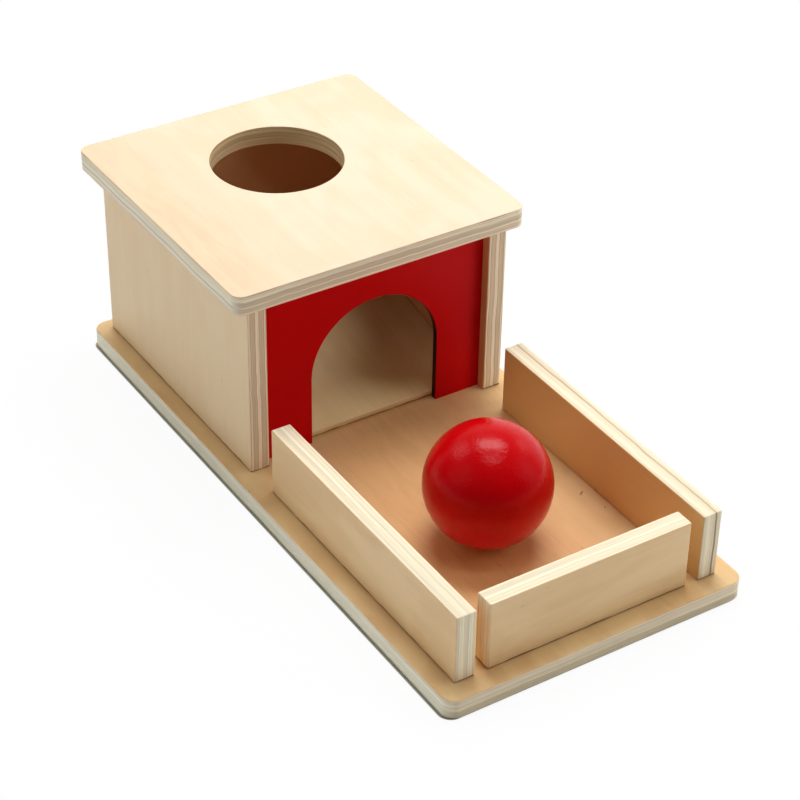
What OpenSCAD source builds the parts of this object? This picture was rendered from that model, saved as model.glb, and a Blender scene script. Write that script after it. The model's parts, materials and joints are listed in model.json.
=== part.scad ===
// Object permanence box: a small wooden house with a round hole in its lid, a
// ramp inside, an arched door and a railed tray that catches the ball.
// Origin: on the base's underside, in the middle of the object's length and
// width. X runs across the tray, Y from the tray to the house, Z up. Millimetres.

/* [Boards] */
// Thickness of the plywood of the base, lid, walls and rails
board_t = 9; // [6:0.5:14]
// Thickness of the thin plywood of the front panel and the ramp
thin_t = 3; // [2:0.5:5]

/* [Base] */
// Width of the base
base_w = 142; // [130:1:200]
// Length of the base, tray and house together
base_l = 300; // [260:1:380]
// Radius of the base's upright corners
base_corner_r = 6; // [2:0.5:15]

/* [House] */
// Height of the walls between base and lid
wall_h = 82.5; // [76:0.5:130]
// How far each side of the lid stands in from the base's long edges
lid_side_inset = 0.5; // [0:0.25:6]
// Depth of the lid, front to back
lid_d = 143.5; // [130:0.5:170]
// How far the lid stands out past the base's back edge
lid_rear_out = 3; // [0:0.5:8]
// Radius of the lid's upright corners
lid_corner_r = 5; // [2:0.5:12]
// How far the lid stands out over each side wall
side_overhang = 7; // [2:0.5:12]
// How far the lid stands out over the walls' front ends
front_overhang = 4; // [0:0.5:12]
// How far the lid stands out over the back wall
back_overhang = 9; // [4:0.5:14]
// Diameter of the round hole that the ball drops through
ball_hole_d = 59; // [55:0.5:70]
// How far the hole's centre lies behind the lid's centre
ball_hole_setback = 18.25; // [5:0.25:25]

/* [Front panel] */
// How far the panel stands back from the walls' front ends
panel_recess = 4.7; // [2:0.1:12]
// Depth of the grooves in the side walls that hold the panel
groove_depth = 3; // [1:0.5:5]
// Width of the arched doorway
arch_w = 63; // [56:1:80]
// Height of the arched doorway above the base
arch_h = 64; // [56:1:72]
// How far the doorway's middle lies right of the house's middle
arch_offset = 0.7; // [-5:0.1:5]

/* [Ramp] */
// Slope of the ramp in degrees
ramp_angle = 12.3; // [6:0.1:18]
// Gap between the front panel and the ramp's toe
ramp_toe_gap = 0.8; // [0.4:0.1:4]
// Length of the flat sanded under the ramp's toe
ramp_toe_flat = 2; // [0.5:0.5:4]
// Gap between the ramp and each side wall
ramp_side_gap = 0.3; // [0.1:0.1:1]
// Depth of the batten that carries the ramp's high end
batten_d = 9; // [6:0.5:14]
// Height of the batten at the back wall
batten_h = 11; // [8:0.5:18]

/* [Tray rails] */
// Height of the rails
rail_h = 32; // [15:0.5:60]
// Gap between the side rails' back ends and the house
rail_house_gap = 16.2; // [4:0.1:30]
// Gap between each end of the front rail and the side rail beside it
rail_corner_gap = 6.1; // [0.5:0.1:20]
// Distance of the side rails from the base's long edges
rail_side_inset = 8.4; // [3:0.1:16]
// Distance of the rails from the base's front edge
rail_front_inset = 9; // [3:0.5:16]

/* [Ball] */
// Diameter of the ball
ball_d = 53.5; // [40:0.5:54.5]
// Place of the ball across the tray
ball_x = -2.8; // [-15:0.1:15]
// Distance of the ball's centre from the front rail's inner face
ball_y_from_rail = 58.6; // [40:0.1:80]
// Gap under the ball where it rests
ball_rest_gap = 0.3; // [0.1:0.1:0.5]

/* [Screws] */
// Outer diameter of the wood screws' thread
screw_d = 3.5; // [3:0.1:4.5]
// Overall length of the wood screws
screw_l = 30; // [22:1:35]
// Diameter of the screws' countersunk heads
screw_head_d = 7; // [6:0.1:8.4]
// Depth of the heads below the base's underside
screw_head_sink = 0.4; // [0.1:0.1:1.5]
// Distance of the screws from the ends of side walls and side rails
screw_end_inset = 28; // [15:1:40]
// Distance of the screws from the ends of back wall and front rail
screw_cross_inset = 18; // [12:1:30]

/* [Dowels] */
// Diameter of the dowels between walls and lid
dowel_d = 5; // [4:0.5:6]
// Length of the dowels
dowel_l = 20; // [14:1:30]
// Depth of the dowels in the lid
dowel_in_lid = 5.5; // [3:0.5:5.5]
// Distance of the dowels from the ends of the side walls
dowel_end_inset = 24; // [15:1:40]

/* [Hidden] */
$fn = 96;

// Overrun of every cut past the face that it opens
cut = 1;
// Gap round the panel in its grooves
groove_gap = 0.1;
// Radial gap round a screw's thread in the wood that it holds
pilot_gap = 0.05;
// Radial gap round the screws in the base's holes
screw_hole_gap = 0.3;
// Radial gap round a dowel
dowel_gap = 0.05;
// Free depth past the end of a screw or dowel
end_room = 0.5;
// Bevel at the dowels' ends
dowel_bevel = 0.6;
// Length of the screws' points, and the width left at their very ends
screw_point_l = 4;
screw_point_d = 0.4;
// Cross recess in the screw heads: width of its slots, their span and depth
recess_slot = 0.8;
recess_span = 3.6;
recess_depth = 1.4;

// Heights of the walls' feet and tops
floor_z = board_t;
lid_z = floor_z + wall_h;

// The ends of base and lid, with the whole length centred on the origin
base_y0 = -(base_l + lid_rear_out) / 2;
lid_y1 = base_y0 + base_l + lid_rear_out;
lid_y0 = lid_y1 - lid_d;

// The walls, set in from the edges of the lid above them
lid_w = base_w - 2 * lid_side_inset;
house_w = lid_w - 2 * side_overhang;
inner_w = house_w - 2 * board_t;
wall_y0 = lid_y0 + front_overhang;
wall_y1 = lid_y1 - back_overhang;
wall_x = house_w / 2 - board_t / 2;
back_y0 = wall_y1 - board_t;

// The hole that the ball drops through
ball_hole_y = lid_y0 + lid_d / 2 + ball_hole_setback;

// The panel, held by its edges in the side walls' grooves
panel_y0 = wall_y0 + panel_recess;
panel_w = inner_w + 2 * (groove_depth - groove_gap);

// The ramp, from its toe behind the panel up to the back wall
ramp_y0 = panel_y0 + thin_t + ramp_toe_gap;
ramp_w = inner_w - 2 * ramp_side_gap;
ramp_plumb_t = thin_t / cos(ramp_angle);

// The rails round the tray
rail_y0 = base_y0 + rail_front_inset;
rail_x = base_w / 2 - rail_side_inset - board_t / 2;
side_rail_l = wall_y0 - rail_house_gap - rail_y0;
front_rail_l = 2 * (rail_x - board_t / 2 - rail_corner_gap);

// The ball at rest in the tray
ball_y = rail_y0 + board_t + ball_y_from_rail;
ball_z = floor_z + ball_rest_gap + ball_d / 2;

// Places of the screws' axes in the base
wall_screws = [
    for (sx = [-1, 1], y = [wall_y0 + screw_end_inset, wall_y1 - screw_end_inset])
        [sx * wall_x, y]
];
rail_screws = [
    for (sx = [-1, 1], y = [rail_y0 + screw_end_inset, rail_y0 + side_rail_l - screw_end_inset])
        [sx * rail_x, y]
];
front_screws = [
    for (sx = [-1, 1]) [sx * (front_rail_l / 2 - screw_cross_inset), rail_y0 + board_t / 2]
];
back_screws = [
    for (sx = [-1, 1]) [sx * (inner_w / 2 - screw_cross_inset), back_y0 + board_t / 2]
];
all_screws = concat(wall_screws, rail_screws, front_screws, back_screws);

// Places of the dowels' axes in the side walls
dowel_places = [
    for (sx = [-1, 1], y = [wall_y0 + dowel_end_inset, wall_y1 - dowel_end_inset])
        [sx * wall_x, y]
];

// Height of the ramp's underside at a distance y along the house
function ramp_under_z(y) = floor_z + (y - ramp_y0 - ramp_toe_flat) * tan(ramp_angle);

// Board lying flat with round upright corners, centred across and with its
// front edge on the origin
module rounded_board(w, l, t, r) {
    translate([0, l / 2, 0]) linear_extrude(t) {
        square([w - 2 * r, l], center = true);
        square([w, l - 2 * r], center = true);
        for (sx = [-1, 1], sy = [-1, 1])
            translate([sx * (w / 2 - r), sy * (l / 2 - r)]) circle(r);
    }
}

// Upright board standing on the base, from its centre line and its low corner
module standing_board(x, y, w, l, h) {
    translate([x - w / 2, y, floor_z]) cube([w, l, h]);
}

// Round cuts at each of the given places, from z up to z + h
module bores(places, d, z, h) {
    for (p = places) translate([p.x, p.y, z]) cylinder(d = d, h = h);
}

// Holes that the screws' threads bite into, from the base's top upwards
module pilot_bores(places) {
    bores(places, screw_d + 2 * pilot_gap, floor_z - cut,
        cut + screw_head_sink + screw_l - floor_z + end_room);
}

// Holes in the walls' tops for the dowels
module wall_dowel_bores(places) {
    bores(places, dowel_d + 2 * dowel_gap, lid_z - (dowel_l - dowel_in_lid) - end_room,
        dowel_l - dowel_in_lid + end_room + cut);
}

// Clearance hole and countersink for one screw in the base
module screw_hole() {
    hole_d = screw_d + 2 * screw_hole_gap;
    sink_d = screw_head_d + 2 * screw_hole_gap;
    translate([0, 0, -cut]) cylinder(d = hole_d, h = board_t + 2 * cut);
    translate([0, 0, -cut]) cylinder(d = sink_d, h = cut + screw_head_sink);
    translate([0, 0, screw_head_sink])
        cylinder(d1 = sink_d, d2 = hole_d, h = (sink_d - hole_d) / 2);
}

// One countersunk wood screw, its head down, with its axis on Z
module wood_screw() {
    head_h = (screw_head_d - screw_d) / 2;
    translate([0, 0, screw_head_sink]) difference() {
        union() {
            cylinder(d1 = screw_head_d, d2 = screw_d, h = head_h);
            translate([0, 0, head_h]) cylinder(d = screw_d, h = screw_l - head_h - screw_point_l);
            translate([0, 0, screw_l - screw_point_l])
                cylinder(d1 = screw_d, d2 = screw_point_d, h = screw_point_l);
        }
        for (turn = [0, 90]) rotate([0, 0, turn])
            translate([-recess_span / 2, -recess_slot / 2, -cut])
                cube([recess_span, recess_slot, cut + recess_depth]);
    }
}

// One dowel with bevelled ends, its foot at the origin
module dowel() {
    cylinder(d1 = dowel_d - 2 * dowel_bevel, d2 = dowel_d, h = dowel_bevel);
    translate([0, 0, dowel_bevel]) cylinder(d = dowel_d, h = dowel_l - 2 * dowel_bevel);
    translate([0, 0, dowel_l - dowel_bevel])
        cylinder(d1 = dowel_d, d2 = dowel_d - 2 * dowel_bevel, h = dowel_bevel);
}

// Side wall on the right of the house, grooved for the panel
module side_wall() {
    difference() {
        standing_board(wall_x, wall_y0, board_t, wall_y1 - wall_y0, wall_h);
        translate([inner_w / 2 - cut, panel_y0 - groove_gap, floor_z - cut])
            cube([groove_depth + cut, thin_t + 2 * groove_gap, wall_h + 2 * cut]);
        pilot_bores([for (p = wall_screws) if (p.x > 0) p]);
        wall_dowel_bores([for (p = dowel_places) if (p.x > 0) p]);
    }
}

// Side rail on the right of the tray
module side_rail() {
    difference() {
        standing_board(rail_x, rail_y0, board_t, side_rail_l, rail_h);
        pilot_bores([for (p = rail_screws) if (p.x > 0) p]);
    }
}

// The base, with countersunk holes on its underside
module base_board() {
    color("burlywood") difference() {
        translate([0, base_y0, 0]) rounded_board(base_w, base_l, board_t, base_corner_r);
        for (p = all_screws) translate([p.x, p.y, 0]) screw_hole();
    }
}

module right_wall() {
    color("wheat") side_wall();
}

module left_wall() {
    color("wheat") mirror([1, 0, 0]) side_wall();
}

// The back wall, glued between the side walls
module back_wall() {
    color("wheat") difference() {
        standing_board(0, back_y0, inner_w, board_t, wall_h);
        pilot_bores(back_screws);
    }
}

// The red panel with its arched doorway
module front_panel() {
    color("firebrick") difference() {
        standing_board(0, panel_y0, panel_w, thin_t, wall_h);
        translate([arch_offset, panel_y0 + thin_t + cut, floor_z]) rotate([90, 0, 0])
            linear_extrude(thin_t + 2 * cut) {
                translate([-arch_w / 2, -cut]) square([arch_w, arch_h - arch_w / 2 + cut]);
                translate([0, arch_h - arch_w / 2]) circle(d = arch_w);
            }
    }
}

// The lid with the hole that the ball is posted through
module lid() {
    color("moccasin") difference() {
        translate([0, lid_y0, lid_z]) rounded_board(lid_w, lid_d, board_t, lid_corner_r);
        translate([0, ball_hole_y, lid_z - cut]) cylinder(d = ball_hole_d, h = board_t + 2 * cut);
        bores(dowel_places, dowel_d + 2 * dowel_gap, lid_z - cut, cut + dowel_in_lid + end_room);
    }
}

// The ramp, flat under its toe and cut plumb at both ends
module ramp() {
    toe_z = ramp_under_z(ramp_y0) + ramp_plumb_t;
    back_z = ramp_under_z(back_y0);
    color("tan") rotate([90, 0, 90]) linear_extrude(ramp_w, center = true) polygon([
        [ramp_y0, floor_z],
        [ramp_y0 + ramp_toe_flat, floor_z],
        [back_y0, back_z],
        [back_y0, back_z + ramp_plumb_t],
        [ramp_y0, toe_z]
    ]);
}

// The batten glued to the back wall under the ramp's high end
module ramp_batten() {
    foot_z = ramp_under_z(back_y0) - batten_h;
    color("peru") rotate([90, 0, 90]) linear_extrude(ramp_w, center = true) polygon([
        [back_y0 - batten_d, foot_z],
        [back_y0, foot_z],
        [back_y0, ramp_under_z(back_y0)],
        [back_y0 - batten_d, ramp_under_z(back_y0 - batten_d)]
    ]);
}

module right_rail() {
    color("wheat") side_rail();
}

module left_rail() {
    color("wheat") mirror([1, 0, 0]) side_rail();
}

// The rail across the tray's front end
module front_rail() {
    color("wheat") difference() {
        standing_board(0, rail_y0, front_rail_l, board_t, rail_h);
        pilot_bores(front_screws);
    }
}

// The screws driven up through the base
module base_screws() {
    color("silver") for (p = all_screws) translate([p.x, p.y, 0]) wood_screw();
}

// The hidden dowels that locate the lid on the side walls
module lid_dowels() {
    color("tan") for (p = dowel_places)
        translate([p.x, p.y, lid_z - (dowel_l - dowel_in_lid)]) dowel();
}

// The ball at rest in the tray
module ball() {
    color("red") translate([ball_x, ball_y, ball_z]) sphere(d = ball_d);
}

base_board();
left_wall();
right_wall();
back_wall();
front_panel();
lid();
ramp();
ramp_batten();
left_rail();
right_rail();
front_rail();
base_screws();
lid_dowels();
ball();
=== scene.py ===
"""Looks of the object permanence box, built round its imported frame.

A toy house of birch plywood stands on the back half of a base board, and a railed tray on the front
half. A ball lacquered red is posted through the lid, rolls down a ramp and comes out of an arched
door in a red panel. All lengths are metres in the frame of the CAD model: X to the right as seen
from the tray's front end, Y from the tray to the house, Z up, the origin under the base's middle.
"""
import json
import logging
import math
from collections.abc import Sequence
from dataclasses import dataclass, field
from enum import Enum

import bpy
import numpy as np
from mathutils import Matrix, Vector
from mathutils.geometry import delaunay_2d_cdt


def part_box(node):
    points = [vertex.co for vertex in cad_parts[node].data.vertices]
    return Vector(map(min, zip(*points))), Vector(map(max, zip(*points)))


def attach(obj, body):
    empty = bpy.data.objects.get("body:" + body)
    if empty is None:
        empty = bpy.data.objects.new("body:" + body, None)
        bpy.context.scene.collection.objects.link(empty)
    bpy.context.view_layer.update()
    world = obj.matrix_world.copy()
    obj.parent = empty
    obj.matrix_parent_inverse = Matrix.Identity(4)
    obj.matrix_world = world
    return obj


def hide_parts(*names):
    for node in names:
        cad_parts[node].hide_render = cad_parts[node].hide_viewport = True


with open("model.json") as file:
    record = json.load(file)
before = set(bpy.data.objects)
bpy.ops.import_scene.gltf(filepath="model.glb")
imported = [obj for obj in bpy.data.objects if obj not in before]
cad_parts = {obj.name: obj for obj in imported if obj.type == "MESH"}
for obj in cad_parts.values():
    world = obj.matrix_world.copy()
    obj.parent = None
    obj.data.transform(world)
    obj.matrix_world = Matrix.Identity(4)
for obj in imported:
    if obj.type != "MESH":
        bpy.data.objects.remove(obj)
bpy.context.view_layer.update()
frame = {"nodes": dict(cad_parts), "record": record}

MM = 0.001
log = logging.getLogger("object_permanence_box")

Tree = bpy.types.NodeTree
Socket = bpy.types.NodeSocket
Material = bpy.types.Material
Stops = tuple[tuple[float, str], ...]
Places = tuple[tuple[float, float], ...]


class Axis(Enum):
    """One of the frame's three directions."""

    X = (1.0, 0.0, 0.0)
    Y = (0.0, 1.0, 0.0)
    Z = (0.0, 0.0, 1.0)


class Body(Enum):
    """The bodies of the motion model: everything that is glued together, and the loose ball."""

    BOX = "box"
    BALL = "ball"


class Slot(Enum):
    """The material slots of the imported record."""

    BIRCH = "birch_plywood"
    RED_PANEL = "red_lacquered_plywood"
    PINE = "pine_strip"
    STEEL = "zinc_plated_steel"
    BEECH = "beech_dowel"
    RED_BALL = "red_lacquered_beech"


def linear(code: str) -> tuple[float, float, float, float]:
    """Turns an sRGB hex colour to linear light.

    Args:
        code: six hex digits after a hash sign.

    Returns:
        Red, green, blue and an alpha of one, each from 0 to 1.
    """
    srgb = np.array([int(code[i:i + 2], 16) for i in (1, 3, 5)]) / 255
    light = np.where(srgb <= 0.04045, srgb / 12.92, ((srgb + 0.055) / 1.055) ** 2.4)
    return (*light.tolist(), 1.0)


def per_metre(along: float, across: float, through: float) -> tuple[float, float, float]:
    """Scales a pattern so that its features have the given lengths in millimetres.

    Args:
        along: feature length along the grain.
        across: feature length across the grain.
        through: feature length through the wood.

    Returns:
        The features per metre in the three directions.
    """
    return (1 / (along * MM), 1 / (across * MM), 1 / (through * MM))


def per_board(along: float, across: float, plies: float) -> tuple[float, float, float]:
    """Scales a pattern on a board's grain coordinates.

    Args:
        along: feature length in millimetres along the grain.
        across: feature length in millimetres across the grain.
        plies: features through the board's whole thickness.

    Returns:
        The features for each unit of the three coordinates.
    """
    return (1 / (along * MM), 1 / (across * MM), plies)


def feed(node: bpy.types.Node, values: dict[int | str, object]) -> None:
    """Sets or links inputs of a node.

    Args:
        node: the node.
        values: an output, an sRGB hex colour or a value for each input, by its number or name.
    """
    for key, value in values.items():
        if isinstance(value, Socket):
            node.id_data.links.new(value, node.inputs[key])
        else:
            node.inputs[key].default_value = linear(value) if isinstance(value, str) else value


def add(tree: Tree, kind: str, *values: object, output: str | None = None, stops: Stops = (),
        **settings: object) -> Socket | None:
    """Adds one node to a tree, sets it and links it.

    Args:
        tree: the node tree of a material or of the world.
        kind: the node's type, without the ShaderNode that all of them start with.
        values: what feed takes, for each input in use, in order.
        output: name of the output to give, where it isn't the first in use.
        stops: places and sRGB colours of a colour ramp, from left to right.
        settings: inputs by their names, which start with a capital, and the node's own properties.

    Returns:
        The output, or none where the node has none.
    """
    node = tree.nodes.new("ShaderNode" + kind)
    for name, value in settings.items():
        if name.islower():
            setattr(node, name, value)
    used = [number for number, socket in enumerate(node.inputs) if socket.enabled]
    feed(node, dict(zip(used, values)))
    feed(node, {name: value for name, value in settings.items() if not name.islower()})
    for number, (place, code) in enumerate(stops):
        elements = node.color_ramp.elements
        stop = elements[number] if number < 2 else elements.new(place)
        stop.position, stop.color = place, linear(code)
    return node.outputs[output] if output else next((s for s in node.outputs if s.enabled), None)


def pattern(tree: Tree, where: Socket, scales: Sequence[float], **settings: float) -> Socket:
    """Lays a cloudy or streaky pattern of a real size over a surface.

    It is noise on stretched coordinates, so that one cell of it has the given size.

    Args:
        tree: the material's nodes.
        where: the surface's coordinates.
        scales: features for each unit of the three coordinates.
        settings: the noise's own values, such as Detail.

    Returns:
        The pattern, about 0.5 in the middle.
    """
    return add(tree, "TexNoise", add(tree, "Mapping", where, Scale=scales), Scale=1.0, **settings)


def inside_edge(tree: Tree, depth: Socket, first: float, last: float) -> Socket:
    """Tells a board's sawn edge from its faces.

    Args:
        tree: the material's nodes.
        depth: the share of the way through the board.
        first: share of the thickness in from a face, up to which all is face.
        last: share from which all is edge.

    Returns:
        0 on the faces, rising smoothly to 1 on the edge.
    """
    back = add(tree, "Math", 1.0, depth, operation="SUBTRACT")
    nearer = add(tree, "Math", depth, back, operation="MINIMUM")
    return add(tree, "MapRange", nearer, first, last, interpolation_type="SMOOTHSTEP")


def new_material(name: str) -> tuple[Material, Tree, bpy.types.Node]:
    """Starts a material.

    Args:
        name: the finish's name.

    Returns:
        The material, its nodes and its shader.
    """
    material = bpy.data.materials.new(name)
    material.use_nodes = True
    return material, material.node_tree, material.node_tree.nodes["Principled BSDF"]


# Finishes


@dataclass(frozen=True)
class BirchPlywood:
    """Birch plywood, peeled veneer with a thin satin varnish.

    The face shows broad, soft, hardly darker figure with very fine lines along the grain. The edge
    shows the plies between brown glue lines: pale and smooth where their grain runs with the edge,
    greyer where it is cut across. So an edge along the face grain and one across it differ.

    heart is a band of darker wood: its colour, its middle and half width in X, and its front end in
    Y. On the base it is also painted shade of the tray's floor between the rails. shaded is painted
    shade, a darker stretch where less light reaches: its colour, and where in Y it starts and is
    full. flecks are dark pith flecks: X, Y and length.
    """

    name: str
    pale: str
    warm: str
    side_plies: Stops
    end_plies: Stops
    inner: str | None = None
    heart_and_shade: tuple[str, float, float, float] | None = None
    painted_shade: tuple[str, float, float] | None = None
    foot: float | None = None
    scorch: str = "#EEDFC4"
    flecks: tuple[tuple[float, float, float], ...] = ()
    fleck_slant: float = math.radians(38)
    figure: float = 0.8
    line_depth: float = 0.045
    roughness: float = 0.46

    def build(self) -> Material:
        """Makes the material. Its patterns read the board's own grain attribute.

        Returns:
            The finished material.
        """
        material, tree, shader = new_material(self.name)
        grain = add(tree, "Attribute", output="Vector", attribute_name="grain")
        depth = add(tree, "SeparateXYZ", grain, output="Z")
        fine = pattern(tree, grain, per_board(38, 0.7, 2.0), Detail=2.0, Roughness=0.6)
        streak = pattern(tree, grain, per_board(12, 12, 30.0), Detail=3.0, Roughness=0.65)
        face = self.face(tree, grain, depth, fine)
        edge = self.edge(tree, grain, depth, streak)

        # The eased arris is all face for about 1% of the thickness, and all edge from 4.5% in.
        on_edge = inside_edge(tree, depth, 0.012, 0.045)
        colour = add(tree, "Mix", on_edge, face, edge, data_type="RGBA")
        # A brown line at the foot: the glue joint, with painted shade of the crease.
        if self.foot is not None:
            colour = self.joint_and_crease_shade(tree, colour, depth)
        # Satin varnish, thinner on the thirsty edges.
        dull = add(tree, "MapRange", on_edge, 0.0, 1.0, self.roughness, self.roughness + 0.2)
        relief = add(tree, "Mix", on_edge, fine, streak, data_type="FLOAT")
        bump = add(tree, "Bump", Height=relief, Strength=0.25, Distance=0.06 * MM)
        feed(shader, {"Base Color": colour, "Roughness": dull, "Normal": bump})
        return material

    def face(self, tree: Tree, grain: Socket, depth: Socket, fine: Socket) -> Socket:
        """Colours the veneer faces.

        Args:
            tree: the material's nodes.
            grain: the board's grain coordinates.
            depth: the share of the way through the board.
            fine: noise of the fine lines along the grain.

        Returns:
            The colour.
        """
        # Two figures of peeled veneer: soft clouds 50 mm long, and streaks 90 mm long and 8 mm wide.
        cloud = pattern(tree, grain, per_board(50, 30, 0.4), Detail=3.0, Distortion=0.8)
        long = pattern(tree, grain, per_board(90, 8, 0.4), Detail=2.0)
        both = add(tree, "Mix", 0.35, cloud, long, data_type="FLOAT")
        tint = add(tree, "MapRange", both, 0.4, 0.62, 0.0, self.figure, interpolation_type="SMOOTHSTEP")
        face = add(tree, "Mix", tint, self.pale, self.warm, data_type="RGBA")
        if self.heart_and_shade:
            face = self.wood_and_shade_band(tree, grain, cloud, face)
        if self.painted_shade:
            # Painted shade: the face darkens along Y from first to last, where less light reaches inside
            # the house.
            tone, first, last = self.painted_shade
            along = add(tree, "SeparateXYZ", add(tree, "TexCoord", output="Object"), output="Y")
            reached = add(tree, "MapRange", along, first, last, interpolation_type="SMOOTHSTEP")
            face = add(tree, "Mix", reached, face, tone, data_type="RGBA", blend_type="MULTIPLY")
        if self.inner:
            # Painted shade: the inner faces, which get less light, are darker and redder.
            inward = add(tree, "MapRange", depth, 0.4, 0.6)
            face = add(tree, "Mix", inward, face, self.inner, data_type="RGBA")
        # Fine lines along the grain. Real ones are a tenth of a millimetre wide; these are drawn
        # 0.7 mm wide, so that they still show at the picture's two pixels to the millimetre.
        lines = add(tree, "MapRange", fine, 0.3, 0.7, 1.0 - self.line_depth, 1.0)
        # Pores and pith flecks: sparse darker dashes about 2.5 mm long and 0.4 mm wide.
        pores = pattern(tree, grain, per_board(5, 0.9, 3.0), Detail=1.0)
        dashes = add(tree, "MapRange", pores, 0.74, 0.82, 1.0, 0.7, interpolation_type="SMOOTHSTEP")
        shade = add(tree, "Math", lines, dashes, operation="MULTIPLY")
        for x, y, length in self.flecks:
            # A single pith fleck, slanting across the grain and a quarter as wide as it is long.
            spot = add(tree, "Mapping", add(tree, "TexCoord", output="Object"), vector_type="TEXTURE",
                       Location=(x, y, 0.0), Rotation=(0.0, 0.0, self.fleck_slant),
                       Scale=(length / 2, length / 8, 1.0))
            reach = add(tree, "VectorMath", spot, operation="LENGTH")
            mark = add(tree, "MapRange", reach, 0.6, 1.3, 0.35, 1.0)
            shade = add(tree, "Math", shade, mark, operation="MULTIPLY")
        return add(tree, "Mix", 1.0, face, shade, data_type="RGBA", blend_type="MULTIPLY")

    def wood_and_shade_band(self, tree: Tree, grain: Socket, cloud: Socket, face: Socket) -> Socket:
        """Lays the band of darker wood over the face's colour; on the base it is also painted shade of the
        tray's floor.

        Its sides wander by about 15 mm and fade over 50 mm; towards the front it fades over 14 mm.

        Args:
            tree: the material's nodes.
            grain: the board's grain coordinates.
            cloud: noise that moves the band's sides.
            face: the face's colour.

        Returns:
            The colour with it.
        """
        tone, middle, half, front = self.heart_and_shade
        x, y, _ = add(tree, "SeparateXYZ", add(tree, "TexCoord", output="Object")).node.outputs
        away = add(tree, "Math", x, middle, operation="SUBTRACT")
        off = add(tree, "Math", away, operation="ABSOLUTE")
        wavy = add(tree, "Math", cloud, 80 * MM, off, operation="MULTIPLY_ADD")
        core = add(tree, "MapRange", wavy, half + 65 * MM, half + 15 * MM, interpolation_type="SMOOTHSTEP")
        # On the base the band stops at the front rail, so the painted shade covers only the tray's floor.
        reached = add(tree, "MapRange", y, front, front + 14 * MM)
        core = add(tree, "Math", core, reached, operation="MULTIPLY")
        # Heartwood shows curled flames about 40 mm long and 7 mm wide.
        curl = pattern(tree, grain, per_board(40, 7, 0.4), Detail=3.0, Distortion=1.4)
        flame = add(tree, "MapRange", curl, 0.42, 0.62, 1.01, 0.95, interpolation_type="SMOOTHSTEP")
        flamed = add(tree, "Mix", 1.0, tone, flame, data_type="RGBA", blend_type="MULTIPLY")
        return add(tree, "Mix", core, face, flamed, data_type="RGBA")

    def edge(self, tree: Tree, grain: Socket, depth: Socket, streak: Socket) -> Socket:
        """Colours the sawn edges.

        Args:
            tree: the material's nodes.
            grain: the board's grain coordinates.
            depth: the share of the way through the board.
            streak: noise of the saw marks and cut fibres.

        Returns:
            The colour.
        """
        # Glue lines wander by a few tenths of a millimetre.
        wander = pattern(tree, grain, per_board(18, 18, 0.0), Detail=3.0)
        offset = add(tree, "MapRange", wander, 0.25, 0.75, -0.045, 0.045)
        place = add(tree, "Math", depth, offset, operation="ADD")
        side = add(tree, "ValToRGB", place, stops=self.side_plies)
        end = add(tree, "ValToRGB", place, stops=self.end_plies)
        cut = add(tree, "Attribute", output="Vector", attribute_name="cut")
        across, scorched, _ = add(tree, "SeparateXYZ", cut).node.outputs
        plies = add(tree, "Mix", across, side, end, data_type="RGBA")
        # The router scorches the wall of a hole to a dull brown.
        brown = add(tree, "Mix", scorched, plies, self.scorch, data_type="RGBA", blend_type="MULTIPLY")
        # Uneven bands within the plies, 0.8 mm high and 90 mm long, and streaks 12 mm long and a
        # quarter of a millimetre high.
        band = pattern(tree, grain, per_board(90, 90, 11.0), Detail=2.0)
        bands = add(tree, "MapRange", band, 0.3, 0.7, 0.88, 1.08)
        cuts = add(tree, "MapRange", streak, 0.25, 0.75, 0.88, 1.06)
        shade = add(tree, "Math", bands, cuts, operation="MULTIPLY")
        return add(tree, "Mix", 1.0, brown, shade, data_type="RGBA", blend_type="MULTIPLY")

    def joint_and_crease_shade(self, tree: Tree, colour: Socket, depth: Socket) -> Socket:
        """Draws a brown line where a board stands on the base: its glue joint and painted shade in the
        crease.

        The inner faces have none.

        Args:
            tree: the material's nodes.
            colour: the board's colour without the line.
            depth: the share of the way through the board, 1 on its inner face.

        Returns:
            The colour with it.
        """
        where = add(tree, "TexCoord", output="Object")
        height = add(tree, "SeparateXYZ", where, output="Z")
        # The line is between 0.4 and 1 mm high.
        uneven = pattern(tree, where, per_metre(9, 9, 9), Detail=2.0)
        raised = add(tree, "Math", uneven, -1.4 * MM, height, operation="MULTIPLY_ADD")
        line = add(tree, "MapRange", raised, self.foot + 0.15 * MM, self.foot - 0.1 * MM, 0.0, 0.85,
                   interpolation_type="SMOOTHSTEP")
        outer = add(tree, "MapRange", depth, 0.99, 0.95)
        drawn = add(tree, "Math", line, outer, operation="MULTIPLY")
        return add(tree, "Mix", drawn, colour, "#7C4C1E", data_type="RGBA")


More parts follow.
